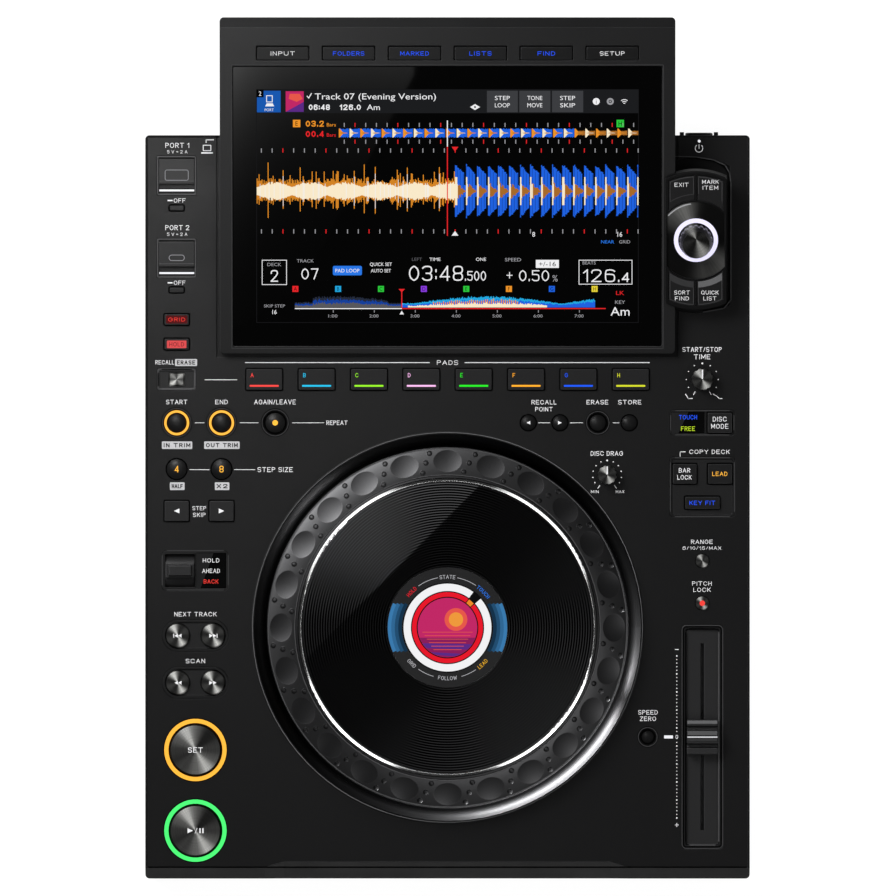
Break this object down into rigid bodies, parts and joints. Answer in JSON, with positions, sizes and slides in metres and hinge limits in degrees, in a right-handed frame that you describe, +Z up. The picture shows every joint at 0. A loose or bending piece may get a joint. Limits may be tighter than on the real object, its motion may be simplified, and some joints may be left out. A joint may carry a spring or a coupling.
{
  "type": "dj media player",
  "caption": "Flat tabletop disc-jockey player with a large dimpled jog wheel, lit keys, a tempo slider and a sloping display.",
  "frame": {"origin": "on the standing surface, under the middle of the outline seen from above", "axes": "+X to the player's right, +Y from the front apron to the display, +Z up out of the deck"},
  "size_m": [0.329, 0.4684, 0.1161],
  "materials": {
    "base_metal": "fine textured black paint",
    "case": "fine-grained charcoal plastic",
    "deck": "fine-grained charcoal plastic with printed legends",
    "rear_metal": "black painted sheet metal",
    "bezel": "satin charcoal plastic",
    "cover": "matt black plastic",
    "screen_glass": "polished black-edged glass",
    "lcd": "lit display panel",
    "board": "green circuit board",
    "supply": "circuit board with tall components",
    "socket": "black moulded sockets with metal nuts",
    "usb_metal": "stamped steel shells",
    "jog_seat": "matt black moulding",
    "jog_screen": "glossy round display",
    "jog_rim": "satin black moulding with polished dimples",
    "jog_plate": "black anodised disc with fine turned grooves",
    "trim_chrome": "polished bright ring",
    "light_guide": "translucent lit plastic",
    "window": "smoked window",
    "fader": "stamped steel",
    "slider_cap": "satin black plastic",
    "foot_rubber": "matt black rubber",
    "screw_steel": "blackened steel",
    "pad": "soft dark grey rubbery plastic",
    "jump_key": "soft dark grey plastic",
    "sync_key": "satin black plastic",
    "mode_key": "satin black plastic",
    "slim_key": "satin black plastic",
    "stop_key": "satin black plastic",
    "menu_key": "satin black plastic",
    "dome_key": "glossy black domes",
    "call_metal": "brushed metal cap",
    "spun_key": "turned dark metal caps",
    "transport_key": "turned dark caps",
    "knob": "turned dark metal cap",
    "selector_cap": "turned dark metal cap",
    "shaft_steel": "ground steel",
    "pod": "satin charcoal plastic",
    "pod_key": "satin dark grey plastic",
    "lever": "satin black plastic",
    "flap": "satin black plastic",
    "power_button": "glossy black plastic"
  },
  "bodies": {
    "case": {"bottom_plate": "base_metal", "lower_case": "case", "top_panel": "deck", "rear_panel": "rear_metal", "display_bezel": "bezel", "display_back_cover": "cover", "display_glass": "screen_glass", "lcd_module": "lcd", "selector_pod": "pod", "main_board": "board", "power_supply": "supply", "rear_sockets": "socket", "usb_sockets": "usb_metal", "jog_base": "jog_seat", "jog_display": "jog_screen", "light_guides": "light_guide", "indicator_windows": "window", "fader_body": "fader", "feet": "foot_rubber", "case_screws": "screw_steel"},
    "jog": {"jog_rim": "jog_rim", "jog_plate": "jog_plate", "jog_trim": "trim_chrome"},
    "beat_jump_keys": {"beat_jump_keys": "jump_key"},
    "beat_loop_keys": {"beat_loop_keys": "dome_key"},
    "call_key": {"call_key": "call_metal"},
    "cue_key": {"cue_key": "transport_key"},
    "cue_loop_call_keys": {"cue_loop_call_keys": "dome_key"},
    "delete_key": {"delete_key": "dome_key"},
    "direction_lever": {"direction_lever": "lever"},
    "hot_cue_key_a": {"hot_cue_key_a": "pad"},
    "hot_cue_key_b": {"hot_cue_key_b": "pad"},
    "hot_cue_key_c": {"hot_cue_key_c": "pad"},
    "hot_cue_key_d": {"hot_cue_key_d": "pad"},
    "hot_cue_key_e": {"hot_cue_key_e": "pad"},
    "hot_cue_key_f": {"hot_cue_key_f": "pad"},
    "hot_cue_key_g": {"hot_cue_key_g": "pad"},
    "hot_cue_key_h": {"hot_cue_key_h": "pad"},
    "jog_feel_knob": {"jog_feel_knob": "knob"},
    "jog_mode_key": {"jog_mode_key": "mode_key"},
    "loop_in_key": {"loop_in_key": "dome_key"},
    "loop_out_key": {"loop_out_key": "dome_key"},
    "memory_key": {"memory_key": "dome_key"},
    "menu_keys": {"menu_keys": "menu_key"},
    "play_key": {"play_key": "transport_key"},
    "power_button": {"power_button": "power_button"},
    "quantize_slip_keys": {"quantize_slip_keys": "slim_key"},
    "reloop_key": {"reloop_key": "dome_key"},
    "search_keys": {"search_keys": "spun_key"},
    "selector_keys": {"selector_keys": "pod_key"},
    "selector_knob": {"selector_knob": "selector_cap"},
    "selector_shaft": {"selector_shaft": "shaft_steel"},
    "stop_keys": {"stop_keys": "stop_key"},
    "sync_keys": {"sync_keys": "sync_key"},
    "tempo_keys": {"tempo_keys": "spun_key"},
    "tempo_reset_key": {"tempo_reset_key": "dome_key"},
    "tempo_slider": {"tempo_slider": "slider_cap"},
    "usb_flap_1": {"usb_flap_1": "flap"},
    "usb_flap_2": {"usb_flap_2": "flap"},
    "vinyl_speed_knob": {"vinyl_speed_knob": "knob"}
  },
  "joints": [
    {"name": "jog_turn", "type": "hinge", "parent": "case", "child": "jog", "pos_m": [0, -0.0974, 0.08], "axis": [0, 0, 1], "continuous": true},
    {"name": "hot_cue_key_a_press", "type": "slide", "parent": "case", "child": "hot_cue_key_a", "axis": [0, 0, -1], "range_m": [0, 0.001], "stiffness_N_per_m": 400},
    {"name": "hot_cue_key_b_press", "type": "slide", "parent": "case", "child": "hot_cue_key_b", "axis": [0, 0, -1], "range_m": [0, 0.001], "stiffness_N_per_m": 400},
    {"name": "hot_cue_key_c_press", "type": "slide", "parent": "case", "child": "hot_cue_key_c", "axis": [0, 0, -1], "range_m": [0, 0.001], "stiffness_N_per_m": 400},
    {"name": "hot_cue_key_d_press", "type": "slide", "parent": "case", "child": "hot_cue_key_d", "axis": [0, 0, -1], "range_m": [0, 0.001], "stiffness_N_per_m": 400},
    {"name": "hot_cue_key_e_press", "type": "slide", "parent": "case", "child": "hot_cue_key_e", "axis": [0, 0, -1], "range_m": [0, 0.001], "stiffness_N_per_m": 400},
    {"name": "hot_cue_key_f_press", "type": "slide", "parent": "case", "child": "hot_cue_key_f", "axis": [0, 0, -1], "range_m": [0, 0.001], "stiffness_N_per_m": 400},
    {"name": "hot_cue_key_g_press", "type": "slide", "parent": "case", "child": "hot_cue_key_g", "axis": [0, 0, -1], "range_m": [0, 0.001], "stiffness_N_per_m": 400},
    {"name": "hot_cue_key_h_press", "type": "slide", "parent": "case", "child": "hot_cue_key_h", "axis": [0, 0, -1], "range_m": [0, 0.001], "stiffness_N_per_m": 400},
    {"name": "loop_in_press", "type": "slide", "parent": "case", "child": "loop_in_key", "axis": [0, 0, -1], "range_m": [0, 0.001], "stiffness_N_per_m": 400},
    {"name": "loop_out_press", "type": "slide", "parent": "case", "child": "loop_out_key", "axis": [0, 0, -1], "range_m": [0, 0.001], "stiffness_N_per_m": 400},
    {"name": "reloop_press", "type": "slide", "parent": "case", "child": "reloop_key", "axis": [0, 0, -1], "range_m": [0, 0.001], "stiffness_N_per_m": 400},
    {"name": "cue_loop_call_press", "type": "slide", "parent": "case", "child": "cue_loop_call_keys", "axis": [0, 0, -1], "range_m": [0, 0.001], "stiffness_N_per_m": 400},
    {"name": "delete_press", "type": "slide", "parent": "case", "child": "delete_key", "axis": [0, 0, -1], "range_m": [0, 0.001], "stiffness_N_per_m": 400},
    {"name": "memory_press", "type": "slide", "parent": "case", "child": "memory_key", "axis": [0, 0, -1], "range_m": [0, 0.001], "stiffness_N_per_m": 400},
    {"name": "beat_loop_press", "type": "slide", "parent": "case", "child": "beat_loop_keys", "axis": [0, 0, -1], "range_m": [0, 0.001], "stiffness_N_per_m": 400},
    {"name": "beat_jump_press", "type": "slide", "parent": "case", "child": "beat_jump_keys", "axis": [0, 0, -1], "range_m": [0, 0.001], "stiffness_N_per_m": 400},
    {"name": "search_press", "type": "slide", "parent": "case", "child": "search_keys", "axis": [0, 0, -1], "range_m": [0, 0.001], "stiffness_N_per_m": 400},
    {"name": "cue_press", "type": "slide", "parent": "case", "child": "cue_key", "axis": [0, 0, -1], "range_m": [0, 0.001], "stiffness_N_per_m": 400},
    {"name": "play_press", "type": "slide", "parent": "case", "child": "play_key", "axis": [0, 0, -1], "range_m": [0, 0.001], "stiffness_N_per_m": 400},
    {"name": "jog_mode_press", "type": "slide", "parent": "case", "child": "jog_mode_key", "axis": [0, 0, -1], "range_m": [0, 0.001], "stiffness_N_per_m": 400},
    {"name": "tempo_press", "type": "slide", "parent": "case", "child": "tempo_keys", "axis": [0, 0, -1], "range_m": [0, 0.001], "stiffness_N_per_m": 400},
    {"name": "tempo_reset_press", "type": "slide", "parent": "case", "child": "tempo_reset_key", "axis": [0, 0, -1], "range_m": [0, 0.001], "stiffness_N_per_m": 400},
    {"name": "quantize_slip_press", "type": "slide", "parent": "case", "child": "quantize_slip_keys", "axis": [0, 0, -1], "range_m": [0, 0.001], "stiffness_N_per_m": 400},
    {"name": "stop_press", "type": "slide", "parent": "case", "child": "stop_keys", "axis": [0, 0, -1], "range_m": [0, 0.001], "stiffness_N_per_m": 400},
    {"name": "call_press", "type": "slide", "parent": "case", "child": "call_key", "axis": [0, 0, -1], "range_m": [0, 0.001], "stiffness_N_per_m": 400},
    {"name": "sync_press", "type": "slide", "parent": "case", "child": "sync_keys", "axis": [0, 0, -1], "range_m": [0, 0.001], "stiffness_N_per_m": 400},
    {"name": "menu_press", "type": "slide", "parent": "case", "child": "menu_keys", "axis": [0, 0.2079, -0.9781], "range_m": [0, 0.0005], "stiffness_N_per_m": 400},
    {"name": "selector_keys_press", "type": "slide", "parent": "case", "child": "selector_keys", "axis": [0, 0.2079, -0.9781], "range_m": [0, 0.0008], "stiffness_N_per_m": 400},
    {"name": "selector_press", "type": "slide", "parent": "case", "child": "selector_shaft", "axis": [0, 0.2079, -0.9781], "range_m": [0, 0.0006], "stiffness_N_per_m": 400},
    {"name": "selector_turn", "type": "hinge", "parent": "selector_shaft", "child": "selector_knob", "pos_m": [0.1351, 0.11371, 0.09168], "axis": [0, -0.2079, 0.9781], "continuous": true},
    {"name": "jog_feel_turn", "type": "hinge", "parent": "case", "child": "jog_feel_knob", "pos_m": [0.0869, -0.0144, 0.075], "axis": [0, 0, 1], "range_deg": [-145, 145]},
    {"name": "vinyl_speed_turn", "type": "hinge", "parent": "case", "child": "vinyl_speed_knob", "pos_m": [0.1387, 0.0376, 0.075], "axis": [0, 0, 1], "range_deg": [-150, 150]},
    {"name": "tempo_slide", "type": "slide", "parent": "case", "child": "tempo_slider", "axis": [0, 1, 0], "range_m": [-0.0477, 0.0477]},
    {"name": "direction_tilt", "type": "hinge", "parent": "case", "child": "direction_lever", "pos_m": [-0.1456, -0.0665, 0.0615], "axis": [1, 0, 0], "range_deg": [-20, 20]},
    {"name": "usb_flap_1_open", "type": "hinge", "parent": "case", "child": "usb_flap_1", "pos_m": [-0.1474, 0.1573, 0.0707], "axis": [-1, 0, 0], "range_deg": [0, 95]},
    {"name": "usb_flap_2_open", "type": "hinge", "parent": "case", "child": "usb_flap_2", "pos_m": [-0.1474, 0.1123, 0.0707], "axis": [-1, 0, 0], "range_deg": [0, 95]},
    {"name": "power_press", "type": "slide", "parent": "case", "child": "power_button", "axis": [0, -1, 0], "range_m": [0, 0.0012], "stiffness_N_per_m": 400}
  ]
}
